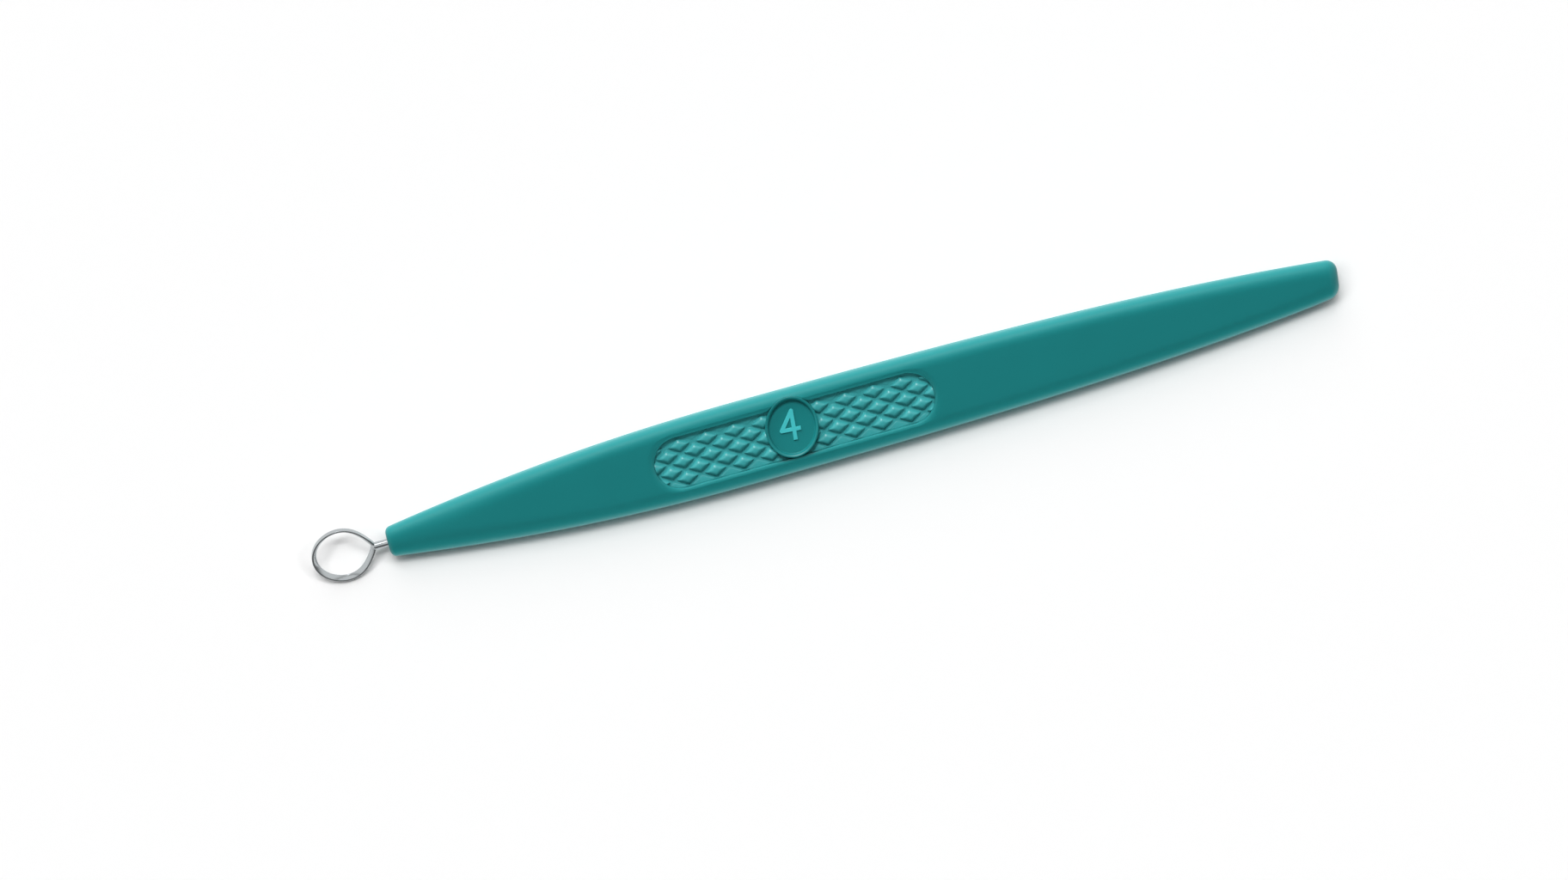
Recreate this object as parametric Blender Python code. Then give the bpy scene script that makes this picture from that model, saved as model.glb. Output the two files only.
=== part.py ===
"""Disposable dermal curette: a moulded pen-grip handle with a stainless ring blade at its nose.

X runs along the handle, from the ring blade at -X to the tail at +X. Y runs across the handle,
and Z points out of the face that carries the size number. The tool lies on its back on Z = 0,
with the origin under the middle of its length. All sizes are in metres.
"""

from math import atan2, ceil, cos, pi, radians, sin, sqrt, tan

import bmesh
import bpy
from mathutils import Matrix, Vector

# Clearance between pieces that seat in each other
FIT_GAP = 0.0003

# Handle: widths and thicknesses are half of the whole, places are measured from the nose
HANDLE_LENGTH = 0.1302
NOSE_TO_WIDEST_LENGTH = 0.0480
MIDDLE_HALF_WIDTH = 0.00552
NOSE_HALF_WIDTH = 0.00192
TAIL_HALF_WIDTH = 0.00240
TAIL_FULLNESS = 0.53
MIDDLE_HALF_THICKNESS = 0.0027
NOSE_HALF_THICKNESS = 0.0018
TAIL_HALF_THICKNESS = 0.0019
NOSE_TAPER_LENGTH = 0.0290
TAIL_TAPER_LENGTH = 0.0400
LONG_EDGE_RADIUS = 0.0018
FULLEST_ROUND = 0.9
NOSE_CORNER_RADIUS = 0.0007
TAIL_CORNER_RADIUS = 0.0012
TAIL_SKEW = 0.13

# Grip recesses, one in each broad face, and the knurled pads set in them
NOSE_TO_GRIP_LENGTH = 0.0556
GRIP_LENGTH = 0.0381
GRIP_WIDTH = 0.0068
DIAMOND_LENGTH = 0.0038
DIAMOND_WIDTH = 0.0022
DIAMOND_HEIGHT = 0.00060
DIAMOND_TOP_SHARE = 0.48
GROOVE_WIDTH = 0.00030
PAD_BACKING = 0.0006
TOPS_DEPTH = 0.00030

# Size disc: an oval dish, leaning a little from square, with a stud below that locates it in the handle
DISC_HALF_LENGTH = 0.00352
DISC_HALF_WIDTH = 0.00403
DISC_LEAN = radians(15.5)
DISC_OFFSET = 0.00055
DISC_TOWARDS_NOSE = 0.00020
DISC_RIM_WIDTH = 0.00025
DISC_CHAMFER_WIDTH = 0.00035
DISC_EDGE_RADIUS = 0.00020
DISC_DISH_DEPTH = 0.00060
DISC_STUD_DIAMETER = 0.0020
DISC_STUD_LENGTH = 0.0010

# Size number, a figure 4 of three strokes, measured from the middle of the disc
STROKE_WIDTH = 0.00054
FIGURE_THICKNESS = 0.00022
FIGURE_HALF_HEIGHT = 0.00193
FIGURE_SLANT = radians(5.8)
FIGURE_OFFSET = 0.00021
STEM_OFFSET = 0.00026
BAR_HEIGHT_OFFSET = -0.00055
BAR_LEFT_OFFSET = -0.00145
BAR_RIGHT_OFFSET = 0.00113

# Ring blade: an egg-shaped loop of band, honed inside to its lower rim, rolled about its round shank
LOOP_LENGTH = 0.0080
LOOP_WIDTH = 0.00765
LOOP_ROLL = radians(30.0)
NECK_PINCH = 0.59
NECK_POWER = 6
BAND_THICKNESS = 0.00066
BAND_HEIGHT = 0.00066
RIM_FLAT_WIDTH = 0.00024
CUTTING_EDGE_HEIGHT = 0.00010
SHANK_DIAMETER = 0.00102
SHANK_SHOWN_LENGTH = 0.0020
SHANK_BURIED_LENGTH = 0.0118

# Anchor sleeve: a six-sided tube crimped on the shank inside the nose
NOSE_TO_SLEEVE_LENGTH = 0.0036
SLEEVE_LENGTH = 0.0070
SLEEVE_WALL = 0.00035
SLEEVE_SIDES = 6

# Fineness of the mesh
FILLET_STEPS = 5
END_STEPS = 4
BODY_STEPS = 34
ARC_STEPS = 14
LOOP_STEPS = 56
ROUND_SIDES = 20
OVAL_SIDES = 48

# Places that follow from the sizes above
LOOP_REACH = SHANK_SHOWN_LENGTH + LOOP_LENGTH + BAND_THICKNESS / 2
NOSE_X = LOOP_REACH - (HANDLE_LENGTH + LOOP_REACH) / 2
GRIP_X = NOSE_X + NOSE_TO_GRIP_LENGTH
DISC_X = GRIP_X - DISC_TOWARDS_NOSE
MIDDLE_Z = MIDDLE_HALF_THICKNESS
FACE_Z = 2 * MIDDLE_HALF_THICKNESS
POCKET_DEPTH = TOPS_DEPTH + DIAMOND_HEIGHT + PAD_BACKING + FIT_GAP
BORE_RADIUS = SHANK_DIAMETER / 2 + FIT_GAP
SLEEVE_CORNER_RADIUS = (BORE_RADIUS + SLEEVE_WALL) / cos(pi / SLEEVE_SIDES)
POCKET_CORNER_RADIUS = SLEEVE_CORNER_RADIUS + FIT_GAP / cos(pi / SLEEVE_SIDES)


def clear_scene():
    for thing in list(bpy.data.objects):
        bpy.data.objects.remove(thing, do_unlink=True)


def new_collection(name):
    collection = bpy.data.collections.new(name)
    bpy.context.scene.collection.children.link(collection)
    return collection


def linear_colour(hex_code):
    channels = [int(hex_code[i : i + 2], 16) / 255 for i in (0, 2, 4)]
    return [c / 12.92 if c <= 0.04045 else ((c + 0.055) / 1.055) ** 2.4 for c in channels] + [1.0]


def new_material(name, hex_code, roughness, metallic=0.0):
    material = bpy.data.materials.new(name)
    material.use_nodes = True
    shader = material.node_tree.nodes["Principled BSDF"]
    shader.inputs["Base Color"].default_value = linear_colour(hex_code)
    shader.inputs["Roughness"].default_value = roughness
    shader.inputs["Metallic"].default_value = metallic
    material.diffuse_color = linear_colour(hex_code)
    return material


def add_part(name, mesh, material):
    part = bpy.data.objects.new(name, mesh)
    parts.objects.link(part)
    mesh.materials.clear()
    mesh.materials.append(material)
    mesh.shade_smooth()
    mesh.set_sharp_from_angle(angle=radians(35))
    return part


def add_cutter(name, mesh):
    cutter = bpy.data.objects.new(name, mesh)
    cutters.objects.link(cutter)
    cutter.hide_render = True
    cutter.display_type = "WIRE"
    return cutter


def boolean(target, operation, tool):
    modifier = target.modifiers.new(operation.title() + " " + tool.name, "BOOLEAN")
    modifier.operation = operation
    modifier.solver = "EXACT"
    modifier.object = tool


def mesh_from(bm, name):
    bmesh.ops.recalc_face_normals(bm, faces=bm.faces)
    mesh = bpy.data.meshes.new(name)
    bm.to_mesh(mesh)
    bm.free()
    return mesh


def mesh_from_curve(curve):
    """The evaluated curve as a mesh with its caps welded to its sides."""
    holder = bpy.data.objects.new(curve.name, curve)
    cutters.objects.link(holder)
    bpy.context.view_layer.update()
    evaluated = holder.evaluated_get(bpy.context.evaluated_depsgraph_get())
    mesh = bpy.data.meshes.new_from_object(evaluated)
    bpy.data.objects.remove(holder, do_unlink=True)
    bm = bmesh.new()
    bm.from_mesh(mesh)
    bmesh.ops.remove_doubles(bm, verts=bm.verts, dist=1e-6)
    bmesh.ops.recalc_face_normals(bm, faces=bm.faces)
    bm.to_mesh(mesh)
    bm.free()
    return mesh


def prism(name, outline, bottom, top):
    """A flat outline of (x, y) points, filled and raised from the height bottom to the height top."""
    curve = bpy.data.curves.new(name, "CURVE")
    curve.dimensions = "2D"
    curve.fill_mode = "BOTH"
    curve.extrude = (top - bottom) / 2
    spline = curve.splines.new("POLY")
    spline.points.add(len(outline) - 1)
    for point, (x, y) in zip(spline.points, outline):
        point.co = (x, y, 0.0, 1.0)
    spline.use_cyclic_u = True
    mesh = mesh_from_curve(curve)
    mesh.transform(Matrix.Translation((0, 0, (top + bottom) / 2)))
    return mesh


def rod(name, start_x, end_x, radius, sides=ROUND_SIDES):
    """A round or many-sided bar along X, at the height of the middle of the handle."""
    bm = bmesh.new()
    bmesh.ops.create_cone(
        bm, cap_ends=True, segments=sides, radius1=radius, radius2=radius, depth=end_x - start_x
    )
    along_x = Matrix.Rotation(pi / 2, 4, "Y")
    place = Matrix.Translation(((start_x + end_x) / 2, 0, MIDDLE_Z))
    bmesh.ops.transform(bm, matrix=place @ along_x, verts=bm.verts)
    return mesh_from(bm, name)


def skin_over(bm, rings):
    """A closed skin over rings of equally many points, with the first and the last ring capped."""
    rows = [[bm.verts.new(point) for point in ring] for ring in rings]
    for low, high in zip(rows, rows[1:]):
        for i in range(len(low)):
            j = (i + 1) % len(low)
            bm.faces.new((low[i], low[j], high[j], high[i]))
    bm.faces.new(rows[0])
    bm.faces.new(rows[-1])


def loft(name, rings):
    bm = bmesh.new()
    skin_over(bm, rings)
    return mesh_from(bm, name)


def arc(centre_x, centre_y, radius, start, end, steps):
    """Points of a round stretch, both ends included; angles in radians."""
    turns = [start + (end - start) * i / steps for i in range(steps + 1)]
    return [(centre_x + radius * cos(t), centre_y + radius * sin(t)) for t in turns]


# Handle


def half_width(distance):
    """Half of the handle's width at a distance from the nose, before the corners are rounded."""
    if distance < NOSE_TO_WIDEST_LENGTH:
        away = (NOSE_TO_WIDEST_LENGTH - distance) / NOSE_TO_WIDEST_LENGTH
        return MIDDLE_HALF_WIDTH - (MIDDLE_HALF_WIDTH - NOSE_HALF_WIDTH) * away**2
    away = (distance - NOSE_TO_WIDEST_LENGTH) / (HANDLE_LENGTH - NOSE_TO_WIDEST_LENGTH)
    fall = (1 - TAIL_FULLNESS) * away**2 + TAIL_FULLNESS * away**4
    return MIDDLE_HALF_WIDTH - (MIDDLE_HALF_WIDTH - TAIL_HALF_WIDTH) * fall


def half_thickness(distance):
    """Half of the handle's thickness: level in the middle, and thinner towards both ends."""
    into_nose = max(0.0, 1 - distance / NOSE_TAPER_LENGTH)
    into_tail = max(0.0, 1 - (HANDLE_LENGTH - distance) / TAIL_TAPER_LENGTH)
    nose_fall = (MIDDLE_HALF_THICKNESS - NOSE_HALF_THICKNESS) * into_nose**2
    tail_fall = (MIDDLE_HALF_THICKNESS - TAIL_HALF_THICKNESS) * into_tail**2
    return MIDDLE_HALF_THICKNESS - nose_fall - tail_fall


def corner_inset(distance, corner):
    """How far a rounded end draws the sides in, at a distance from that end."""
    short = max(0.0, corner - distance)
    return corner - sqrt(corner**2 - short**2)


def handle_section(distance):
    """A rounded rectangle across the handle; at the tail its two sides end at slightly unequal lengths."""
    inset = corner_inset(distance, NOSE_CORNER_RADIUS)
    inset += corner_inset(HANDLE_LENGTH - distance, TAIL_CORNER_RADIUS)
    wide = half_width(distance) - inset
    thick = half_thickness(distance) - inset
    fillet = min(LONG_EDGE_RADIUS, FULLEST_ROUND * min(wide, thick))
    points = []
    for quarter in range(4):
        side_y = 1 if quarter in (0, 3) else -1
        side_z = 1 if quarter in (0, 1) else -1
        start = quarter * pi / 2
        points += arc(
            side_y * (wide - fillet), side_z * (thick - fillet), fillet, start, start + pi / 2, FILLET_STEPS
        )
    into_tail = max(0.0, 1 - (HANDLE_LENGTH - distance) / (4 * TAIL_CORNER_RADIUS))
    skew = TAIL_SKEW * into_tail * into_tail * (3 - 2 * into_tail)
    return [Vector((NOSE_X + distance + skew * (y - wide), y, MIDDLE_Z + z)) for y, z in points]


def handle_stations():
    """Distances from the nose: close together round the two ends, and even along the body."""
    turns = [i * pi / 2 / END_STEPS for i in range(END_STEPS)]
    nose = [NOSE_CORNER_RADIUS * (1 - cos(t)) for t in turns]
    tail = [HANDLE_LENGTH - TAIL_CORNER_RADIUS * (1 - cos(t)) for t in reversed(turns)]
    body_length = HANDLE_LENGTH - NOSE_CORNER_RADIUS - TAIL_CORNER_RADIUS
    body = [NOSE_CORNER_RADIUS + body_length * i / BODY_STEPS for i in range(BODY_STEPS + 1)]
    return nose + body + tail


def stadium(length, width, side=0):
    """A slot outline with round ends about the grip; side -1 or 1 keeps only that half of its length."""
    radius = width / 2
    straight = length / 2 - radius
    right = arc(GRIP_X + straight, 0, radius, -pi / 2, pi / 2, ARC_STEPS)
    left = arc(GRIP_X - straight, 0, radius, pi / 2, 3 * pi / 2, ARC_STEPS)
    if side > 0:
        return [(GRIP_X, -radius)] + right + [(GRIP_X, radius)]
    if side < 0:
        return [(GRIP_X, radius)] + left + [(GRIP_X, -radius)]
    return right + left


def disc_ring(half_length, half_width, z):
    """An oval ring of points about the middle of the disc, at the height z."""
    ring = []
    for i in range(OVAL_SIDES):
        turn = 2 * pi * i / OVAL_SIDES
        point = Vector((half_length * cos(turn), half_width * sin(turn), z))
        point.rotate(Matrix.Rotation(-DISC_LEAN, 3, "Z"))
        ring.append(point + Vector((DISC_X, DISC_OFFSET, 0)))
    return ring


def rim_ring(grow, z):
    """A ring that follows the disc's edge, larger than it by grow."""
    return disc_ring(DISC_HALF_LENGTH + grow, DISC_HALF_WIDTH + grow, z)


def stud_ring(grow, z):
    """A round ring for the stud under the disc, larger than it by grow."""
    radius = DISC_STUD_DIAMETER / 2 + grow
    return disc_ring(radius, radius, z)


def build_handle():
    mesh = loft("handle", [handle_section(d) for d in handle_stations()])
    handle = add_part("handle", mesh, new_material("abs_teal", "1E7B7C", 0.42))
    over = 2 * FIT_GAP
    recess = stadium(GRIP_LENGTH, GRIP_WIDTH)
    sleeve_end = NOSE_TO_SLEEVE_LENGTH + SLEEVE_LENGTH
    pocket_floor = FACE_Z - POCKET_DEPTH
    stud_floor = pocket_floor - DISC_STUD_LENGTH
    hollows = (
        prism("front_recess", recess, pocket_floor, FACE_Z + over),
        prism("back_recess", recess, -over, POCKET_DEPTH),
        loft("disc_seat", [rim_ring(FIT_GAP, pocket_floor), rim_ring(FIT_GAP, FACE_Z + over)]),
        loft("stud_hole", [stud_ring(FIT_GAP, stud_floor), stud_ring(FIT_GAP, pocket_floor + FIT_GAP)]),
        rod("shank_bore", NOSE_X - over, NOSE_X + SHANK_BURIED_LENGTH + FIT_GAP, BORE_RADIUS),
        rod(
            "sleeve_pocket",
            NOSE_X + NOSE_TO_SLEEVE_LENGTH - FIT_GAP,
            NOSE_X + sleeve_end + FIT_GAP,
            POCKET_CORNER_RADIUS,
            sides=SLEEVE_SIDES,
        ),
    )
    for hollow in hollows:
        boolean(handle, "DIFFERENCE", add_cutter("cut_" + hollow.name, hollow))
    return handle


# Knurled pads


def knurl_grooves(name, lean, valley, top):
    """Parallel grooves with sloping sides; lean 1 or -1 picks which diagonal of the diamonds they follow."""
    half_long = DIAMOND_LENGTH / 2
    half_wide = DIAMOND_WIDTH / 2
    run = Vector((half_long, -lean * half_wide, 0)).normalized()
    across = Vector((half_wide, lean * half_long, 0)).normalized()
    spacing = 2 * half_long * across.x
    land = spacing * DIAMOND_TOP_SHARE
    slope = (spacing - land - GROOVE_WIDTH) / 2 / (top - valley)
    over = top + FIT_GAP
    bottom_half = GROOVE_WIDTH / 2
    mouth_half = bottom_half + slope * (over - valley)
    section = ((-bottom_half, valley), (bottom_half, valley), (mouth_half, over), (-mouth_half, over))
    reach = GRIP_LENGTH / 2 + GRIP_WIDTH
    furthest = ceil((GRIP_LENGTH / 2 * across.x + GRIP_WIDTH / 2 * abs(across.y)) / spacing)
    bm = bmesh.new()
    for number in range(-furthest, furthest):
        middle = Vector((GRIP_X, 0, 0)) + across * spacing * (number + 0.5)
        ends = [
            [middle + run * end + across * sideways + Vector((0, 0, z)) for sideways, z in section]
            for end in (-reach, reach)
        ]
        skin_over(bm, ends)
    return mesh_from(bm, name)


def build_pad(name, material, side=0, back=False):
    """A pad for one half of the front recess, or with back=True for the whole of the back one."""
    outline = stadium(GRIP_LENGTH - 2 * FIT_GAP, GRIP_WIDTH - 2 * FIT_GAP, side)
    lowest = FACE_Z - POCKET_DEPTH + FIT_GAP
    valley = lowest + PAD_BACKING
    top = valley + DIAMOND_HEIGHT
    blank = prism(name, outline, lowest, top)
    grooves = [knurl_grooves(f"{name}_grooves_{i}", lean, valley, top) for i, lean in enumerate((1, -1))]
    if back:
        turn_over = Matrix.Translation((0, 0, FACE_Z)) @ Matrix.Scale(-1, 4, (0, 0, 1))
        for mesh in [blank] + grooves:
            mesh.transform(turn_over)
            mesh.flip_normals()
    pad = add_part(name, blank, material)
    for groove in grooves:
        boolean(pad, "DIFFERENCE", add_cutter("cut_" + groove.name, groove))
    if side:
        rings = [rim_ring(FIT_GAP, lowest - FIT_GAP), rim_ring(FIT_GAP, top + FIT_GAP)]
        boolean(pad, "DIFFERENCE", add_cutter("cut_" + name + "_for_disc", loft(name + "_seat", rings)))
    return pad


# Size disc and its number


def build_size_disc():
    lowest = FACE_Z - POCKET_DEPTH + FIT_GAP
    floor = FACE_Z - DISC_DISH_DEPTH
    rings = [
        stud_ring(0, lowest - DISC_STUD_LENGTH),
        stud_ring(0, lowest),
        rim_ring(0, lowest),
        rim_ring(0, FACE_Z - DISC_EDGE_RADIUS),
        rim_ring(-DISC_EDGE_RADIUS / 3, FACE_Z - DISC_EDGE_RADIUS / 3),
        rim_ring(-DISC_EDGE_RADIUS, FACE_Z),
        rim_ring(-DISC_EDGE_RADIUS - DISC_RIM_WIDTH, FACE_Z),
        rim_ring(-DISC_EDGE_RADIUS - DISC_RIM_WIDTH - DISC_CHAMFER_WIDTH, floor),
    ]
    return add_part("size_disc", loft("size_disc", rings), new_material("abs_teal_satin", "1C7677", 0.38))


def stroke(start, end, flat_end=False):
    """The outline of a straight stroke, round where it starts and round or flat where it ends."""
    turn = atan2(end[1] - start[1], end[0] - start[0])
    radius = STROKE_WIDTH / 2
    head_steps = 1 if flat_end else FILLET_STEPS
    head = arc(end[0], end[1], radius, turn - pi / 2, turn + pi / 2, head_steps)
    foot = arc(start[0], start[1], radius, turn + pi / 2, turn + 3 * pi / 2, FILLET_STEPS)
    return head + foot


def build_size_number():
    bottom = FACE_Z - DISC_DISH_DEPTH + FIT_GAP
    top = bottom + FIGURE_THICKNESS

    def place(x, y):
        return (DISC_X + x, DISC_OFFSET + FIGURE_OFFSET + y)

    lean = FIGURE_HALF_HEIGHT * tan(FIGURE_SLANT)
    apex = place(STEM_OFFSET + lean, FIGURE_HALF_HEIGHT)
    foot = place(STEM_OFFSET - lean, -FIGURE_HALF_HEIGHT)
    corner = place(BAR_LEFT_OFFSET, BAR_HEIGHT_OFFSET)
    bar_end = place(BAR_RIGHT_OFFSET, BAR_HEIGHT_OFFSET)
    stem = prism("size_number", stroke(apex, foot, flat_end=True), bottom, top)
    number = add_part("size_number", stem, new_material("abs_pale_turquoise", "44BCBE", 0.45))
    diagonal = prism("diagonal", stroke(apex, corner), bottom, top)
    bar = prism("bar", stroke(corner, bar_end, flat_end=True), bottom, top)
    for piece in (diagonal, bar):
        boolean(number, "UNION", add_cutter("add_" + piece.name, piece))
    return number


# Ring blade and the sleeve that anchors it


def loop_centreline():
    """The middle of the band, laid flat: an oval that is pinched where it meets the shank."""
    half_long = LOOP_LENGTH / 2
    half_wide = LOOP_WIDTH / 2
    middle_x = NOSE_X - SHANK_SHOWN_LENGTH - half_long
    points = []
    for i in range(LOOP_STEPS):
        turn = 2 * pi * i / LOOP_STEPS
        pinch = 1 - NECK_PINCH * ((1 + cos(turn)) / 2) ** NECK_POWER
        points.append((middle_x + half_long * cos(turn), half_wide * sin(turn) * pinch))
    return points


def band_loop(name):
    """The band swept round the loop: upright outside, a flat upper rim, and honed down to its inner edge."""
    half = BAND_THICKNESS / 2
    low = -BAND_HEIGHT / 2
    high = BAND_HEIGHT / 2
    round_off = BAND_THICKNESS / 8
    section = (
        (-half, low),
        (half - round_off, low),
        (half, low + round_off),
        (half, high - round_off),
        (half - round_off, high),
        (half - RIM_FLAT_WIDTH, high),
        (-half, low + CUTTING_EDGE_HEIGHT),
    )
    profile = bpy.data.curves.new(name + "_section", "CURVE")
    profile.dimensions = "2D"
    outline = profile.splines.new("POLY")
    outline.points.add(len(section) - 1)
    for point, (x, y) in zip(outline.points, section):
        point.co = (x, y, 0.0, 1.0)
    outline.use_cyclic_u = True
    profile_holder = bpy.data.objects.new(name + "_section", profile)
    cutters.objects.link(profile_holder)

    curve = bpy.data.curves.new(name, "CURVE")
    curve.dimensions = "3D"
    curve.twist_mode = "Z_UP"
    curve.bevel_mode = "OBJECT"
    curve.bevel_object = profile_holder
    spline = curve.splines.new("POLY")
    centreline = loop_centreline()
    spline.points.add(len(centreline) - 1)
    for point, (x, y) in zip(spline.points, centreline):
        point.co = (x, y, 0.0, 1.0)
    spline.use_cyclic_u = True
    mesh = mesh_from_curve(curve)
    mesh.transform(Matrix.Translation((0, 0, MIDDLE_Z)) @ Matrix.Rotation(LOOP_ROLL, 4, "X"))
    bpy.data.objects.remove(profile_holder, do_unlink=True)
    return mesh


def build_ring_blade():
    steel = new_material("stainless_blade_steel", "B9BEC0", 0.22, metallic=1.0)
    blade = add_part("ring_blade", band_loop("ring_blade"), steel)
    shank_start = NOSE_X - SHANK_SHOWN_LENGTH - BAND_THICKNESS / 4
    shank = rod("shank", shank_start, NOSE_X + SHANK_BURIED_LENGTH, SHANK_DIAMETER / 2)
    boolean(blade, "UNION", add_cutter("add_shank", shank))
    return blade


def build_anchor_sleeve():
    start = NOSE_X + NOSE_TO_SLEEVE_LENGTH
    end = start + SLEEVE_LENGTH
    tube = rod("anchor_sleeve", start, end, SLEEVE_CORNER_RADIUS, sides=SLEEVE_SIDES)
    sleeve = add_part("anchor_sleeve", tube, new_material("crimped_steel", "8F9496", 0.4, metallic=1.0))
    bore = rod("sleeve_bore", start - FIT_GAP, end + FIT_GAP, BORE_RADIUS)
    boolean(sleeve, "DIFFERENCE", add_cutter("cut_sleeve_bore", bore))
    return sleeve


clear_scene()
parts = new_collection("dermal_curette")
cutters = new_collection("cutters")
pad_plastic = new_material("abs_teal_gloss", "23898A", 0.3)
build_handle()
build_pad("grip_pad_front_nose", pad_plastic, side=-1)
build_pad("grip_pad_front_tail", pad_plastic, side=1)
build_pad("grip_pad_back", pad_plastic, back=True)
build_size_disc()
build_size_number()
build_ring_blade()
build_anchor_sleeve()
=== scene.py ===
"""Looks of a dermal curette: satin teal ABS handle, polished knurl, stainless ring blade."""

from math import atan2, cos, exp, floor, log, pi, radians, sin, sqrt, tan

import bmesh
import bpy
from mathutils import Matrix, Vector


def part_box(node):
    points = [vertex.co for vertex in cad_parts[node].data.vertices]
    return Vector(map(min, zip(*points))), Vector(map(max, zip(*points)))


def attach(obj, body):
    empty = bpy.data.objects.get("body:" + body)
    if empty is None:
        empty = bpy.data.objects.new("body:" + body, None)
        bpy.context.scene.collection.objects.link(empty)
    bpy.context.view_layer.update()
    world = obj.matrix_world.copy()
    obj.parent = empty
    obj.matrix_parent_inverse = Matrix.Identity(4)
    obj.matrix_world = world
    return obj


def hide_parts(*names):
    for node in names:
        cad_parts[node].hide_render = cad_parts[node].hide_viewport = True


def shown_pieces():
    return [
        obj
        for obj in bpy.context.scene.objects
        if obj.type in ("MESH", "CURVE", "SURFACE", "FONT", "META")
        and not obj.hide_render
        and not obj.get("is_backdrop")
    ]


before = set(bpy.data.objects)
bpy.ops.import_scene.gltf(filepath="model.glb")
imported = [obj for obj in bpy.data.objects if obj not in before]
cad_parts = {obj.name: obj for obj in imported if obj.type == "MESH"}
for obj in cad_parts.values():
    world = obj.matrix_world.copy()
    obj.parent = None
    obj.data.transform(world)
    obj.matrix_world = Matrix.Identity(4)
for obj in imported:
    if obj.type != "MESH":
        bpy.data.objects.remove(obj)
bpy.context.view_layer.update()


# Handle. The real one is a solid bar of teal ABS, injection moulded in one shot. Its broad faces
# are level, the long edges are generously rounded, and both ends are cut off short. A slot-shaped
# recess in each face takes a knurled pad.

MM = 0.001
ABS_TEAL = "187475"
ABS_IOR = 1.53
SATIN_ROUGHNESS = 0.40
SATIN_SPECULAR = 0.30
POLISH_SPREAD = 0.05
# The real spark-eroded grain is about 0.03 mm wide, too fine to show, so it is drawn coarser
MOULD_GRAIN = 0.11 * MM
MOULD_GRAIN_DEPTH = 0.0022 * MM
SINK_SPACING = 9 * MM
TINT_SPREAD = 0.035
CREASE_ANGLE = radians(40)

handle_low, handle_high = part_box("handle")
NOSE_X = handle_low.x
HANDLE_LENGTH = handle_high.x - handle_low.x
MIDDLE_Z = (handle_low.z + handle_high.z) / 2
FACE_Z = handle_high.z
MIDDLE_HALF_WIDTH = (handle_high.y - handle_low.y) / 2
MIDDLE_HALF_THICKNESS = (handle_high.z - handle_low.z) / 2
NOSE_TO_WIDEST = 48.0 * MM
NOSE_HALF_WIDTH = 1.92 * MM
TAIL_HALF_WIDTH = 2.40 * MM
TAIL_FULLNESS = 0.53
NOSE_HALF_THICKNESS = 1.8 * MM
TAIL_HALF_THICKNESS = 1.9 * MM
NOSE_TAPER = 29 * MM
TAIL_TAPER = 40 * MM
NOSE_CORNER = 0.7 * MM
TAIL_CORNER = 1.2 * MM
TAIL_SKEW = 0.13
SKEW_LENGTH = 4 * TAIL_CORNER
LONG_EDGE = 2.2 * MM
LONG_EDGE_POWER = 2.35
FULLEST_ROUND = 0.92
FULLEST_CROWN = 0.97
NOSE_CROWN = 0.5
EDGE_STEPS = 14
FACE_STEPS = 4
BODY_STEPS = 150
END_STEPS = 8

GRIP_X = NOSE_X + 55.6 * MM
GRIP_LENGTH = 38.1 * MM
GRIP_WIDTH = 6.8 * MM
POCKET_DEPTH = 1.8 * MM
LIP_WIDTH = 1.0 * MM
LIP_DROP = 0.32 * MM
LIP_SWEEP = radians(82)
RIM_STEPS = 9
END_ARC_STEPS = 36
BORE_ROUND = 0.16 * MM
BORE_SHOWN = 4 * MM
SHANK_RADIUS = 0.51 * MM
SHANK_SIDES = 64
SHOWN_GAP = 0.02 * MM
DISC_HALF_LENGTH = 3.52 * MM
DISC_HALF_WIDTH = 4.03 * MM
SEAT_HALF_LENGTH = DISC_HALF_LENGTH + SHOWN_GAP
SEAT_HALF_WIDTH = DISC_HALF_WIDTH + SHOWN_GAP
DISC_LEAN = radians(15.5)
DISC_X = GRIP_X - 0.2 * MM
DISC_Y = 0.55 * MM
DISC_SIDES = 160


def half_width(distance):
    """Half of the width at a distance from the nose, before the corners are rounded."""
    if distance < NOSE_TO_WIDEST:
        away = (NOSE_TO_WIDEST - distance) / NOSE_TO_WIDEST
        return MIDDLE_HALF_WIDTH - (MIDDLE_HALF_WIDTH - NOSE_HALF_WIDTH) * away**2
    away = (distance - NOSE_TO_WIDEST) / (HANDLE_LENGTH - NOSE_TO_WIDEST)
    fall = (1 - TAIL_FULLNESS) * away**2 + TAIL_FULLNESS * away**4
    return MIDDLE_HALF_WIDTH - (MIDDLE_HALF_WIDTH - TAIL_HALF_WIDTH) * fall


def half_thickness(distance):
    """Half of the thickness at a distance from the nose: level, then falling to both ends."""
    into_nose = max(0.0, 1 - distance / NOSE_TAPER)
    into_tail = max(0.0, 1 - (HANDLE_LENGTH - distance) / TAIL_TAPER)
    nose_fall = (MIDDLE_HALF_THICKNESS - NOSE_HALF_THICKNESS) * into_nose**2
    tail_fall = (MIDDLE_HALF_THICKNESS - TAIL_HALF_THICKNESS) * into_tail**2
    return MIDDLE_HALF_THICKNESS - nose_fall - tail_fall


def corner_inset(distance, corner):
    """How far a rounded end draws the sides in, at a distance from that end."""
    short = max(0.0, corner - distance)
    return corner - sqrt(corner**2 - short**2)


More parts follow.
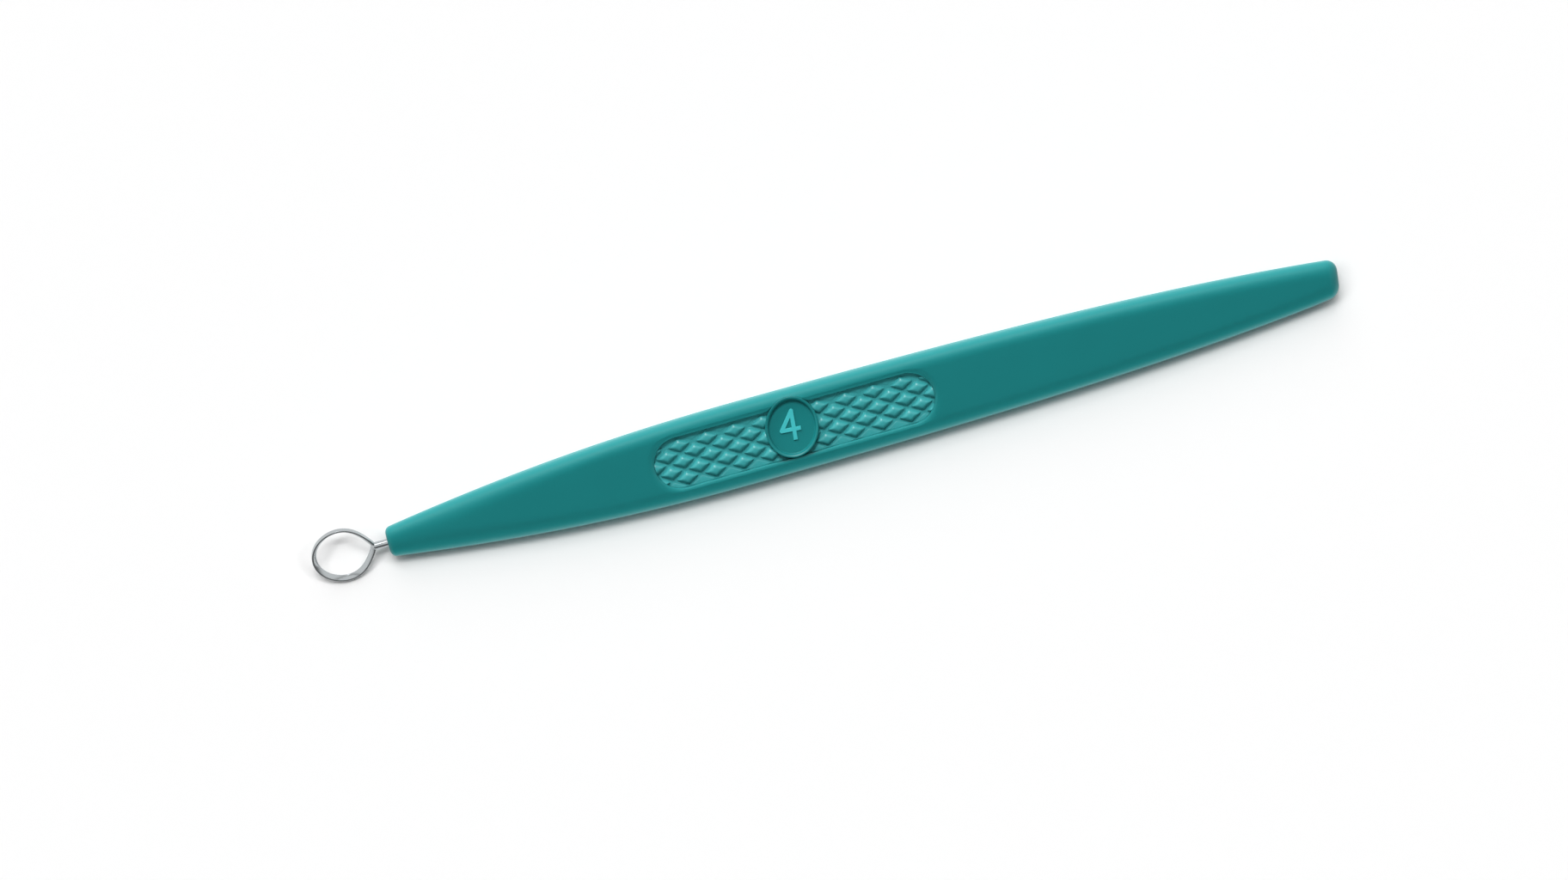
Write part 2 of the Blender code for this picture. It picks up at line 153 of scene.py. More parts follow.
def handle_section(distance):
    """Level faces joined by soft corners whose bend starts and ends gently."""
    inset = corner_inset(distance, NOSE_CORNER)
    inset += corner_inset(HANDLE_LENGTH - distance, TAIL_CORNER)
    wide = half_width(distance) - inset
    thick = half_thickness(distance) - inset
    into_nose = max(0.0, 1 - distance / NOSE_TAPER)
    edge = min(LONG_EDGE, FULLEST_ROUND * thick)
    crown = min(LONG_EDGE * (1 + NOSE_CROWN * into_nose), FULLEST_CROWN * wide)
    corner = []
    for i in range(EDGE_STEPS + 1):
        turn = i * pi / 2 / EDGE_STEPS
        across = abs(cos(turn)) ** (2 / LONG_EDGE_POWER)
        up = abs(sin(turn)) ** (2 / LONG_EDGE_POWER)
        corner.append((wide - crown + crown * across, thick - edge + edge * up))
    top_left = [(-y, z) for y, z in reversed(corner)]
    level = [((wide - crown) * (1 - 2 * i / FACE_STEPS), thick) for i in range(1, FACE_STEPS)]
    upper = corner + level + top_left
    outline = upper + [(-y, -z) for y, z in upper]
    into_tail = max(0.0, 1 - (HANDLE_LENGTH - distance) / SKEW_LENGTH)
    skew = TAIL_SKEW * into_tail * into_tail * (3 - 2 * into_tail)
    return [Vector((NOSE_X + distance + skew * (y - wide), y, MIDDLE_Z + z)) for y, z in outline]


def new_piece(name, bm):
    """A smooth-shaded object from a bmesh, sharp only at real creases."""
    bmesh.ops.recalc_face_normals(bm, faces=bm.faces)
    mesh = bpy.data.meshes.new(name)
    bm.to_mesh(mesh)
    bm.free()
    mesh.shade_smooth()
    mesh.set_sharp_from_angle(angle=CREASE_ANGLE)
    piece = bpy.data.objects.new(name, mesh)
    bpy.context.scene.collection.objects.link(piece)
    return piece


def skin_over(rings):
    """A closed body over rings of equally many points, capped at its first and last ring."""
    bm = bmesh.new()
    rows = [[bm.verts.new(point) for point in ring] for ring in rings]
    for low, high in zip(rows, rows[1:]):
        for i in range(len(low)):
            j = (i + 1) % len(low)
            bm.faces.new((low[i], low[j], high[j], high[i]))
    bm.faces.new(rows[0])
    bm.faces.new(rows[-1])
    return bm


def cut_or_join(piece, tool, operation):
    """Applies one exact Boolean and removes the tool."""
    modifier = piece.modifiers.new("cut", "BOOLEAN")
    modifier.operation = operation
    modifier.solver = "EXACT"
    modifier.object = tool
    graph = bpy.context.evaluated_depsgraph_get()
    mesh = bpy.data.meshes.new_from_object(piece.evaluated_get(graph))
    piece.modifiers.remove(modifier)
    piece.data = mesh
    mesh.shade_smooth()
    mesh.set_sharp_from_angle(angle=CREASE_ANGLE)
    bpy.data.objects.remove(tool, do_unlink=True)


def slot_ring(grow, z):
    """The outline of the grip recess at a height, larger than the recess by grow."""
    radius = GRIP_WIDTH / 2 + grow
    straight = (GRIP_LENGTH - GRIP_WIDTH) / 2
    points = []
    for side in (1, -1):
        for i in range(END_ARC_STEPS + 1):
            turn = -pi / 2 + i * pi / END_ARC_STEPS + (0 if side > 0 else pi)
            x = GRIP_X + side * straight + radius * cos(turn)
            points.append(Vector((x, radius * sin(turn), z)))
    return points


def disc_ring(half_length, half_wide, z):
    """An oval about the middle of the size disc, leaning as the disc does."""
    ring = []
    for i in range(DISC_SIDES):
        turn = 2 * pi * i / DISC_SIDES
        point = Vector((half_length * cos(turn), half_wide * sin(turn), z))
        point.rotate(Matrix.Rotation(-DISC_LEAN, 3, "Z"))
        ring.append(point + Vector((DISC_X, DISC_Y, 0)))
    return ring


def flared_hollow(ring, floor_z, face_z, width, drop):
    """Rings of a cutter that leaves a rounded mouth where it meets the face at face_z."""
    up = 1 if face_z > floor_z else -1
    rings = [ring(0, floor_z), ring(0, face_z - up * drop)]
    for i in range(1, RIM_STEPS + 1):
        turn = i * LIP_SWEEP / RIM_STEPS
        rings.append(ring(width * (1 - cos(turn)), face_z - up * drop * (1 - sin(turn))))
    rings.append(ring(width * (1 - cos(LIP_SWEEP)), face_z + up * MM))
    return rings


def bore_ring(grow, x):
    """The outline of the nose bore at a place along the handle, larger than the bore by grow."""
    radius = SHANK_RADIUS + SHOWN_GAP + grow
    turns = [2 * pi * i / SHANK_SIDES for i in range(SHANK_SIDES)]
    return [Vector((x, radius * cos(t), MIDDLE_Z + radius * sin(t))) for t in turns]


end_turns = [i * pi / 2 / END_STEPS for i in range(END_STEPS)]
body_length = HANDLE_LENGTH - NOSE_CORNER - TAIL_CORNER
stations = [NOSE_CORNER * (1 - cos(t)) for t in end_turns]
stations += [NOSE_CORNER + body_length * i / BODY_STEPS for i in range(BODY_STEPS + 1)]
stations += [HANDLE_LENGTH - TAIL_CORNER * (1 - cos(t)) for t in reversed(end_turns)]
handle = new_piece("handle_body", skin_over([handle_section(d) for d in stations]))

back_z = 2 * MIDDLE_Z - FACE_Z
seat_floor = FACE_Z - POCKET_DEPTH
hollows = (
    flared_hollow(slot_ring, seat_floor, FACE_Z, LIP_WIDTH, LIP_DROP),
    flared_hollow(slot_ring, back_z + POCKET_DEPTH, back_z, LIP_WIDTH, LIP_DROP),
    [disc_ring(SEAT_HALF_LENGTH, SEAT_HALF_WIDTH, z) for z in (seat_floor, FACE_Z + MM)],
    flared_hollow(bore_ring, NOSE_X + BORE_SHOWN, NOSE_X, BORE_ROUND, BORE_ROUND),
)
for hollow in hollows:
    cut_or_join(handle, new_piece("hollow", skin_over(hollow)), "DIFFERENCE")


def linear(hex_code):
    """An sRGB hex colour as the linear colour that a shader takes."""
    channels = [int(hex_code[i : i + 2], 16) / 255 for i in (0, 2, 4)]
    return [c / 12.92 if c <= 0.04045 else ((c + 0.055) / 1.055) ** 2.4 for c in channels] + [1.0]


def add_node(tree, kind, links=(), inputs=(), **settings):
    """One node with its settings, its input values by name, and its incoming links by name."""
    node = tree.nodes.new(kind)
    for key, value in settings.items():
        setattr(node, key, value)
    for key, value in dict(inputs).items():
        node.inputs[key].default_value = value
    for key, source in dict(links).items():
        tree.links.new(source, node.inputs[key])
    return node


def moulded_abs(name, colour, roughness, grain, grain_depth, specular):
    """Injection moulded ABS: an even tint, a fine spark-eroded grain, and faint broad waves."""
    material = bpy.data.materials.new(name)
    material.use_nodes = True
    tree = material.node_tree
    shader = tree.nodes["Principled BSDF"]
    place = add_node(tree, "ShaderNodeTexCoord").outputs["Object"]
    tint = add_node(
        tree, "ShaderNodeTexNoise", {"Vector": place}, {"Scale": 1 / SINK_SPACING, "Detail": 3.0}
    )
    shade = add_node(
        tree,
        "ShaderNodeMapRange",
        {"Value": tint.outputs["Fac"]},
        {"To Min": 1 - TINT_SPREAD, "To Max": 1 + TINT_SPREAD},
    )
    colour_mix = add_node(
        tree,
        "ShaderNodeVectorMath",
        {"Scale": shade.outputs["Result"]},
        {0: linear(colour)[:3]},
        operation="SCALE",
    )
    grain_noise = add_node(
        tree,
        "ShaderNodeTexNoise",
        {"Vector": place},
        {"Scale": 1 / grain, "Detail": 2.0, "Roughness": 0.6},
    )
    polish = add_node(
        tree,
        "ShaderNodeMapRange",
        {"Value": grain_noise.outputs["Fac"]},
        {"To Min": roughness - POLISH_SPREAD, "To Max": roughness + POLISH_SPREAD},
    )
    bump = add_node(
        tree,
        "ShaderNodeBump",
        {"Height": grain_noise.outputs["Fac"]},
        {"Strength": 1.0, "Distance": grain_depth},
    )
    tree.links.new(colour_mix.outputs["Vector"], shader.inputs["Base Color"])
    tree.links.new(polish.outputs["Result"], shader.inputs["Roughness"])
    tree.links.new(bump.outputs["Normal"], shader.inputs["Normal"])
    shader.inputs["IOR"].default_value = ABS_IOR
    shader.inputs["Specular IOR Level"].default_value = specular
    return material


# Satin moulded ABS: a soft, wide highlight along the rounded edges and a calm, even face
satin_abs = moulded_abs(
    "satin_moulded_abs", ABS_TEAL, SATIN_ROUGHNESS, MOULD_GRAIN, MOULD_GRAIN_DEPTH, SATIN_SPECULAR
)


def dress(piece, material, node):
    """Gives a piece its material and lets it stand for its CAD node."""
    piece.data.materials.clear()
    piece.data.materials.append(material)
    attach(piece, "root")
    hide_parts(node)


dress(handle, satin_abs, "handle")


# Knurled grip pads. The real grip is a diamond knurl moulded in the same ABS and polished on its
# tops, one pad on either side of the size disc in front and one long pad in the back recess.

# The pads' teal is paler and redder than the handle's: painted sheen over the same ABS's teal, for
# the gloss on the polished tops
GRIP_TEAL_AND_SHEEN = "329092"
GRIP_ROUGHNESS = 0.36
GRIP_SPECULAR = 0.36
# Finer than the handle's grain, but drawn coarser than the real one too, so that it shows
POLISH_GRAIN = 0.08 * MM
POLISH_GRAIN_DEPTH = 0.0010 * MM
DIAMOND_LENGTH = 3.8 * MM
DIAMOND_WIDTH = 2.2 * MM
DIAMOND_HEIGHT = 0.54 * MM
PEAK_OFFSET = -0.14 * MM
GROOVE_LIFT = 0.04
CLIFF_REACH = 0.10
CLIFF_SHARE = 0.25
PILLOW_POWER = 2.8
GROOVE_HALF = 0.20 * MM
RIDGE_SOFTNESS = 12.0
TOPS_BELOW_FACE = 0.30 * MM
SUNK_AT_WALL = 0.90
SUNK_WIDTH = 1.3 * MM
GRID_STEP = 0.085 * MM
PAD_ROWS = 100


def knurl_height(x, y):
    """Height of the knurl from 0 in a groove to 1 on a peak, x and y from the recess centre.

    Each diamond rises steeply from its groove and then bulges like a pillow to four soft ridges.
    Diamonds that the wall of the recess cuts are sunk towards the groove.
    """
    along = x / DIAMOND_LENGTH + y / DIAMOND_WIDTH
    against = x / DIAMOND_LENGTH - y / DIAMOND_WIDTH
    along -= floor(along + 0.5)
    against -= floor(against + 0.5)
    local_x = DIAMOND_LENGTH * (along + against) / 2
    local_y = DIAMOND_WIDTH * (along - against) / 2
    slope = sqrt(DIAMOND_LENGTH**2 + DIAMOND_WIDTH**2)
    across_x = DIAMOND_WIDTH / slope
    across_y = DIAMOND_LENGTH / slope
    edge = DIAMOND_LENGTH * DIAMOND_WIDTH / 2 / slope - GROOVE_HALF
    total = 0.0
    for side_x in (-1, 1):
        for side_y in (-1, 1):
            inside = edge - side_x * across_x * local_x - side_y * across_y * local_y
            total += exp(-RIDGE_SOFTNESS * inside / (edge - side_y * across_y * PEAK_OFFSET))
    rise = min(1.0, max(0.0, -log(total) / RIDGE_SOFTNESS + GROOVE_LIFT))
    cliff = min(1.0, rise / CLIFF_REACH)
    step = CLIFF_SHARE * cliff * cliff * (3 - 2 * cliff)
    pillow = (1 - CLIFF_SHARE) * (1 - (1 - rise) ** PILLOW_POWER)
    height = step + pillow
    from_wall = min(1.0, max(0.0, (GRIP_WIDTH / 2 - abs(y - local_y)) / SUNK_WIDTH))
    return height * (1 - SUNK_AT_WALL * (1 - from_wall))


def pad_body(name, left_edge, right_edge, lowest, turn_over):
    """A knurled pad between two edges given as x for each y, over the level bottom at lowest."""
    half = GRIP_WIDTH / 2 - SHOWN_GAP
    rows_y = [half * sin(pi * (i / PAD_ROWS - 0.5)) for i in range(PAD_ROWS + 1)]
    columns = int((right_edge(0) - left_edge(0)) / GRID_STEP)
    valley = FACE_Z - TOPS_BELOW_FACE - DIAMOND_HEIGHT
    bm = bmesh.new()
    grid = []
    for y in rows_y:
        start, end = left_edge(y), right_edge(y)
        row = []
        for i in range(columns + 1):
            x = start + (end - start) * i / columns
            z = valley + DIAMOND_HEIGHT * knurl_height(x, y)
            row.append(bm.verts.new((GRIP_X + x, y, turn_over - z if turn_over else z)))
        grid.append(row)
    for low, high in zip(grid, grid[1:]):
        for i in range(columns):
            bm.faces.new((low[i], low[i + 1], high[i + 1], high[i]))
    right_side = [row[-1] for row in grid[:-1]]
    left_side = [row[0] for row in grid[:0:-1]]
    outline = grid[0][:-1] + right_side + grid[-1][:0:-1] + left_side
    bottom = turn_over - lowest if turn_over else lowest
    under = [bm.verts.new((v.co.x, v.co.y, bottom)) for v in outline]
    for i in range(len(outline)):
        j = (i + 1) % len(outline)
        bm.faces.new((outline[i], outline[j], under[j], under[i]))
    bm.faces.new(under)
    return new_piece(name, bm)


def slot_end(side):
    """The x of the recess's round end for each y, at the nose's side (-1) or the tail's (1)."""
    half = GRIP_WIDTH / 2 - SHOWN_GAP
    straight = (GRIP_LENGTH - GRIP_WIDTH) / 2
    return lambda y: side * (straight + sqrt(max(0.0, half**2 - y**2)))


def disc_edge(side):
    """The x of the size disc's edge for each y, from the leaning oval's own equation."""
    along, across = cos(DISC_LEAN), sin(DISC_LEAN)
    a = (along / SEAT_HALF_LENGTH) ** 2 + (across / SEAT_HALF_WIDTH) ** 2
    c = (across / SEAT_HALF_LENGTH) ** 2 + (along / SEAT_HALF_WIDTH) ** 2
    b = -2 * across * along * (1 / SEAT_HALF_LENGTH**2 - 1 / SEAT_HALF_WIDTH**2)

    def edge(y):
        v = y - DISC_Y
        inside = max(0.0, (b * v) ** 2 - 4 * a * (c * v**2 - 1))
        return DISC_X - GRIP_X + (-b * v + side * sqrt(inside)) / (2 * a)

    return edge


# Polished ABS: brighter, sharper glints than the handle, because the mould's knurl was polished.
# Its paler, redder teal is painted sheen over the handle's own teal.
knurl_abs = moulded_abs(
    "polished_knurl_abs", GRIP_TEAL_AND_SHEEN, GRIP_ROUGHNESS, POLISH_GRAIN, POLISH_GRAIN_DEPTH, GRIP_SPECULAR
)
pad_floor = FACE_Z - POCKET_DEPTH + SHOWN_GAP
for name, left, right, turn_over in (
    ("grip_pad_front_nose", slot_end(-1), disc_edge(-1), 0),
    ("grip_pad_front_tail", disc_edge(1), slot_end(1), 0),
    ("grip_pad_back", slot_end(-1), slot_end(1), 2 * MIDDLE_Z),
):
    pad = pad_body(name + "_knurl", left, right, pad_floor, turn_over)
    dress(pad, knurl_abs, name)


# Size disc. The real one is a small dish moulded in ABS and pressed into the grip through the front
# recess. Its rim is level with the handle's face and its floor is sunk to carry the size number.

DISC_TEAL = "0E7172"
DISC_ROUGHNESS = 0.40
DISC_SPECULAR = 0.36
DISC_GRAIN_DEPTH = 0.0016 * MM
DISC_EDGE = 0.05 * MM
DISC_RIM = 0.03 * MM
DISC_CREST = 0.36 * MM
DISC_FOOT = 0.06 * MM
DISC_DEPTH = 0.60 * MM
DISH_SLOPE = radians(76)
ARC_STEPS = 6

# The profile as (inset from the edge, height): up the side, over the rounded crest of the rim and
# down a steep wall to a small round at its foot
disc_floor_z = FACE_Z - DISC_DEPTH
disc_profile = [(0, FACE_Z - POCKET_DEPTH + SHOWN_GAP), (0, FACE_Z - DISC_EDGE)]
for i in range(1, ARC_STEPS + 1):
    turn = i * pi / 2 / ARC_STEPS
    disc_profile.append((DISC_EDGE * (1 - cos(turn)), FACE_Z - DISC_EDGE * (1 - sin(turn))))
lip = DISC_EDGE + DISC_RIM
for i in range(ARC_STEPS + 1):
    turn = i * DISH_SLOPE / ARC_STEPS
    disc_profile.append((lip + DISC_CREST * sin(turn), FACE_Z - DISC_CREST * (1 - cos(turn))))
wall_drop = DISC_DEPTH - (DISC_CREST + DISC_FOOT) * (1 - cos(DISH_SLOPE))
foot = lip + (DISC_CREST + DISC_FOOT) * sin(DISH_SLOPE) + wall_drop / tan(DISH_SLOPE)
for i in range(ARC_STEPS, -1, -1):
    turn = i * DISH_SLOPE / ARC_STEPS
    disc_profile.append((foot - DISC_FOOT * sin(turn), disc_floor_z + DISC_FOOT * (1 - cos(turn))))
disc_rings = [
    disc_ring(DISC_HALF_LENGTH - inset, DISC_HALF_WIDTH - inset, z) for inset, z in disc_profile
]
disc = new_piece("size_disc_dish", skin_over(disc_rings))

# Satin moulded ABS, a little glossier than the handle, so that the crest of the rim catches light
disc_abs = moulded_abs(
    "dished_disc_abs", DISC_TEAL, DISC_ROUGHNESS, MOULD_GRAIN, DISC_GRAIN_DEPTH, DISC_SPECULAR
)
dress(disc, disc_abs, "size_disc")


# Size number. The real figure is printed or moulded in a paler ABS on the floor of the disc,
# three strokes of one width with a round top and corner and two square ends.

NUMBER_TURQUOISE = "3EB1B5"
NUMBER_ROUGHNESS = 0.42
NUMBER_SPECULAR = 0.25
NUMBER_GRAIN_DEPTH = 0.001 * MM
STROKE_HALF = 0.27 * MM
FIGURE_HEIGHT = 0.16 * MM
FIGURE_EDGE = 0.06 * MM
FIGURE_SUNK = 0.02 * MM
ROUND_END_STEPS = 24
APEX = (0.45 * MM, 2.08 * MM)
FOOT = (0.06 * MM, -1.78 * MM)
CORNER = (-1.45 * MM, -0.23 * MM)
BAR_END = (1.13 * MM, -0.43 * MM)


def stroke_rings(start, end, flat_end):
    """Rings of one raised stroke, softened along its top edge; it is round where it starts."""
    turn = atan2(end[1] - start[1], end[0] - start[0])
    length = sqrt((end[0] - start[0]) ** 2 + (end[1] - start[1]) ** 2)
    origin = Matrix.Translation((DISC_X + start[0], DISC_Y + start[1], 0))
    place = origin @ Matrix.Rotation(turn, 4, "Z")
    top = disc_floor_z + FIGURE_HEIGHT
    levels = [(0, disc_floor_z - FIGURE_SUNK), (0, top - FIGURE_EDGE)]
    for i in range(1, ARC_STEPS + 1):
        bend = i * pi / 2 / ARC_STEPS
        levels.append((FIGURE_EDGE * (1 - cos(bend)), top - FIGURE_EDGE * (1 - sin(bend))))
    rings = []
    for inset, z in levels:
        radius = STROKE_HALF - inset
        outline = []
        for i in range(ROUND_END_STEPS + 1):
            angle = pi / 2 + pi * i / ROUND_END_STEPS
            outline.append((radius * cos(angle), radius * sin(angle)))
        if flat_end:
            outline += [(length - inset, -radius), (length - inset, radius)]
        else:
            for i in range(ROUND_END_STEPS + 1):
                angle = -pi / 2 + pi * i / ROUND_END_STEPS
                outline.append((length + radius * cos(angle), radius * sin(angle)))
        rings.append([place @ Vector((x, y, z)) for x, y in outline])
    return rings


number = new_piece("size_number_four", skin_over(stroke_rings(APEX, FOOT, True)))
for ends in ((APEX, CORNER, False), (CORNER, BAR_END, True)):
    cut_or_join(number, new_piece("stroke", skin_over(stroke_rings(*ends))), "UNION")

# Pale moulded ABS: nearly matt, so that the figure keeps one even light tint on the dark floor
number_abs = moulded_abs(
    "pale_figure_abs",
    NUMBER_TURQUOISE,
    NUMBER_ROUGHNESS,
    MOULD_GRAIN,
    NUMBER_GRAIN_DEPTH,
    NUMBER_SPECULAR,
)
dress(number, number_abs, "size_number")


# Ring blade. The real one is stainless steel: a narrow band bent to an egg-shaped loop, honed
# inside to its lower rim and welded to a round shank that is moulded into the nose. It is rolled
# about the shank, so that its lower side nearly touches the surface.

BLADE_STEEL = "B7BCBE"
POLISH_SMOOTHEST = 0.12
POLISH_ROUGHEST = 0.24
# Real polishing lines are about 0.01 mm apart, too fine to show, so they are drawn coarser
LINE_LENGTH = 10 / 3 * MM
LINE_SPACING = MM / 9
LINE_DEPTH = 0.0015 * MM
LOOP_LENGTH = 8.0 * MM
LOOP_WIDTH = 7.65 * MM
LOOP_ROLL = radians(30)
NECK_PINCH = 0.59
NECK_POWER = 6
NEARBY_TURN = 0.01
BAND_THICKNESS = 0.66 * MM
BAND_HEIGHT = 0.66 * MM
RIM_FLAT = 0.24 * MM
CUTTING_EDGE = 0.08 * MM
BAND_CORNER = 0.09 * MM
CREASE_OUT = 0.03 * MM
CREASE_IN = 0.02 * MM
CREASE_DOWN = 0.015 * MM
EDGE_BEND = 0.01 * MM
LOOP_STEPS = 288
SHANK_SHOWN = 2.0 * MM
SHANK_BURIED = 11.8 * MM
SHANK_OVERLAP = 0.1 * MM
TIP_REACH = 0.5
TIP_RADIUS = 0.02 * MM
TIP_STEPS = 6


def band_section():
    """Points of the band's section, outward and up: upright outside, flat on top, honed inside."""
    half = BAND_THICKNESS / 2
    high = BAND_HEIGHT / 2
    points = [(-half, -high)]
    for side in (-1, 1):
        for i in range(ARC_STEPS + 1):
            turn = (i * pi / 2 / ARC_STEPS) + (-pi / 2 if side < 0 else 0)
            out, up = half - BAND_CORNER, side * (high - BAND_CORNER)
            points.append((out + BAND_CORNER * cos(turn), up + BAND_CORNER * sin(turn)))
    crease = half - RIM_FLAT
    points += [(crease + CREASE_OUT, high), (crease - CREASE_IN, high - CREASE_DOWN)]
    points += [(-half + EDGE_BEND, -high + CUTTING_EDGE + EDGE_BEND), (-half, -high + CUTTING_EDGE)]
    return points


def loop_point(turn):
    """The middle of the band as (x, y), laid flat: an oval pinched where it meets the shank."""
    pinch = 1 - NECK_PINCH * ((1 + cos(turn)) / 2) ** NECK_POWER
    middle_x = NOSE_X - SHANK_SHOWN - LOOP_LENGTH / 2
    return Vector((middle_x + LOOP_LENGTH / 2 * cos(turn), LOOP_WIDTH / 2 * sin(turn) * pinch, 0))


section = band_section()
roll = Matrix.Translation((0, 0, MIDDLE_Z)) @ Matrix.Rotation(LOOP_ROLL, 4, "X")
bm = bmesh.new()
loop_rows = []
for i in range(LOOP_STEPS):
    turn = 2 * pi * i / LOOP_STEPS
    tangent = (loop_point(turn + NEARBY_TURN) - loop_point(turn - NEARBY_TURN)).normalized()
    outward = Vector((tangent.y, -tangent.x, 0))
    middle = loop_point(turn)
    points = [middle + outward * x + Vector((0, 0, z)) for x, z in section]
    loop_rows.append([bm.verts.new(roll @ point) for point in points])
for i in range(LOOP_STEPS):
    this, following = loop_rows[i], loop_rows[(i + 1) % LOOP_STEPS]
    for j in range(len(section)):
        k = (j + 1) % len(section)
        bm.faces.new((this[j], this[k], following[k], following[j]))
blade = new_piece("ring_blade_honed", bm)

# The shank starts with a rounded tip inside the band and ends flat inside the nose
shank_start = NOSE_X - SHANK_SHOWN - SHANK_OVERLAP
reach = SHANK_RADIUS * TIP_REACH
turns = [2 * pi * i / SHANK_SIDES for i in range(SHANK_SIDES)]
shank_rings = []
for i in range(TIP_STEPS + 1):
    bend = i * pi / 2 / TIP_STEPS
    radius = max(TIP_RADIUS, SHANK_RADIUS * sin(bend))
    x = shank_start - reach * cos(bend) + reach
    shank_rings.append([Vector((x, radius * cos(t), MIDDLE_Z + radius * sin(t))) for t in turns])
shank_rings.append([Vector((NOSE_X + SHANK_BURIED, p.y, p.z)) for p in shank_rings[-1]])
cut_or_join(blade, new_piece("shank", skin_over(shank_rings)), "UNION")

# Ground and polished stainless: crisp light and dark bands, slightly broken by fine drawing lines
blade_steel = bpy.data.materials.new("polished_stainless")
blade_steel.use_nodes = True
tree = blade_steel.node_tree
shader = tree.nodes["Principled BSDF"]
place = add_node(tree, "ShaderNodeTexCoord").outputs["Object"]
line_scale = (1 / LINE_LENGTH, 1 / LINE_SPACING, 1 / LINE_SPACING)
stretched = add_node(
    tree, "ShaderNodeMapping", {"Vector": place}, {"Scale": line_scale}, vector_type="POINT"
)
lines = add_node(
    tree,
    "ShaderNodeTexNoise",
    {"Vector": stretched.outputs["Vector"]},
    {"Scale": 1.0, "Detail": 2.0},
)
polish = add_node(
    tree,
    "ShaderNodeMapRange",
    {"Value": lines.outputs["Fac"]},
    {"To Min": POLISH_SMOOTHEST, "To Max": POLISH_ROUGHEST},
)
bump = add_node(
    tree,
    "ShaderNodeBump",
    {"Height": lines.outputs["Fac"]},
    {"Strength": 1.0, "Distance": LINE_DEPTH},
)
shader.inputs["Base Color"].default_value = linear(BLADE_STEEL)
shader.inputs["Metallic"].default_value = 1.0
tree.links.new(polish.outputs["Result"], shader.inputs["Roughness"])
tree.links.new(bump.outputs["Normal"], shader.inputs["Normal"])
dress(blade, blade_steel, "ring_blade")


# Anchor sleeve. The real one is a short steel tube crimped to six flats on the shank, so that the
# moulded nose grips it. It is hidden inside and stays as the CAD made it, in dull drawn steel.

SLEEVE_STEEL = "8F9496"
SLEEVE_SMOOTHEST = 0.3
SLEEVE_ROUGHEST = 0.55
DRAW_MARK = 0.4 * MM

# Drawn and crimped steel, left unpolished: dull grey, with cloudy marks from the drawing
sleeve_steel = bpy.data.materials.new("drawn_crimped_steel")
sleeve_steel.use_nodes = True
tree = sleeve_steel.node_tree
shader = tree.nodes["Principled BSDF"]
place = add_node(tree, "ShaderNodeTexCoord").outputs["Object"]
draw_marks = add_node(
    tree, "ShaderNodeTexNoise", {"Vector": place}, {"Scale": 1 / DRAW_MARK, "Detail": 4.0}
)
polish = add_node(
    tree,
    "ShaderNodeMapRange",
    {"Value": draw_marks.outputs["Fac"]},
    {"To Min": SLEEVE_SMOOTHEST, "To Max": SLEEVE_ROUGHEST},
)
shader.inputs["Base Color"].default_value = linear(SLEEVE_STEEL)
shader.inputs["Metallic"].default_value = 1.0
tree.links.new(polish.outputs["Result"], shader.inputs["Roughness"])
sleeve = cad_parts["anchor_sleeve"]
sleeve.data.materials.clear()
sleeve.data.materials.append(sleeve_steel)


# Floor. A plain pale paper sheet that the tool lies on and that takes its shadow. It is no part of
# the tool, and it lies a hair below it so that the two don't touch.

FLOOR_WHITE = "F7F7F7"
FLOOR_HALF = 4.0
FLOOR_DROP = 0.02 * MM
PAPER_ROUGHNESS = 0.9
PAPER_GLOW = 0.02

bm = bmesh.new()
bmesh.ops.create_grid(bm, x_segments=2, y_segments=2, size=FLOOR_HALF)
floor_sheet = new_piece("floor_sheet", bm)

# Matt white paper: no gloss at all, and a trace of its own light, so that it reads as clean white
floor_paper = bpy.data.materials.new("matt_white_paper")
floor_paper.use_nodes = True
shader = floor_paper.node_tree.nodes["Principled BSDF"]
shader.inputs["Base Color"].default_value = linear(FLOOR_WHITE)
shader.inputs["Roughness"].default_value = PAPER_ROUGHNESS
shader.inputs["Specular IOR Level"].default_value = 0.0
shader.inputs["Emission Color"].default_value = (1, 1, 1, 1)
shader.inputs["Emission Strength"].default_value = PAPER_GLOW
floor_sheet.data.materials.append(floor_paper)
floor_sheet.location.z = -FLOOR_DROP
floor_sheet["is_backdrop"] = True


# Light. A white studio. The handle, the pieces in its recess, the steel and the sheet each have
# their own soft lamps, and each lamp lights its own group alone. Azimuth 90 is +Y, the side beyond
# the tool.

FAN_MIDDLE = 90
FAN_HALF = 70
FAN_STEP = 20
FAN_HEIGHT = 73
FAN_FALL = 16
FAN_WIDTH = 11
FAN_STRENGTH = 0.222
NEAR_ZONE = (-0.60, -0.15)
NEAR_SHADE = 0.18
TOP_ZONE = (0.78, 0.93)
TOP_SHADE = 0.15
DIFFUSE_FILL = 0.05

handle_group = bpy.data.collections.new("handle_group")
recess_group = bpy.data.collections.new("recess_group")
steel_group = bpy.data.collections.new("steel_group")
sheet_group = bpy.data.collections.new("sheet_group")
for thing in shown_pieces():
    if thing.active_material in (blade_steel, sleeve_steel):
        steel_group.objects.link(thing)
    elif thing.active_material == satin_abs:
        handle_group.objects.link(thing)
    else:
        recess_group.objects.link(thing)
sheet_group.objects.link(floor_sheet)


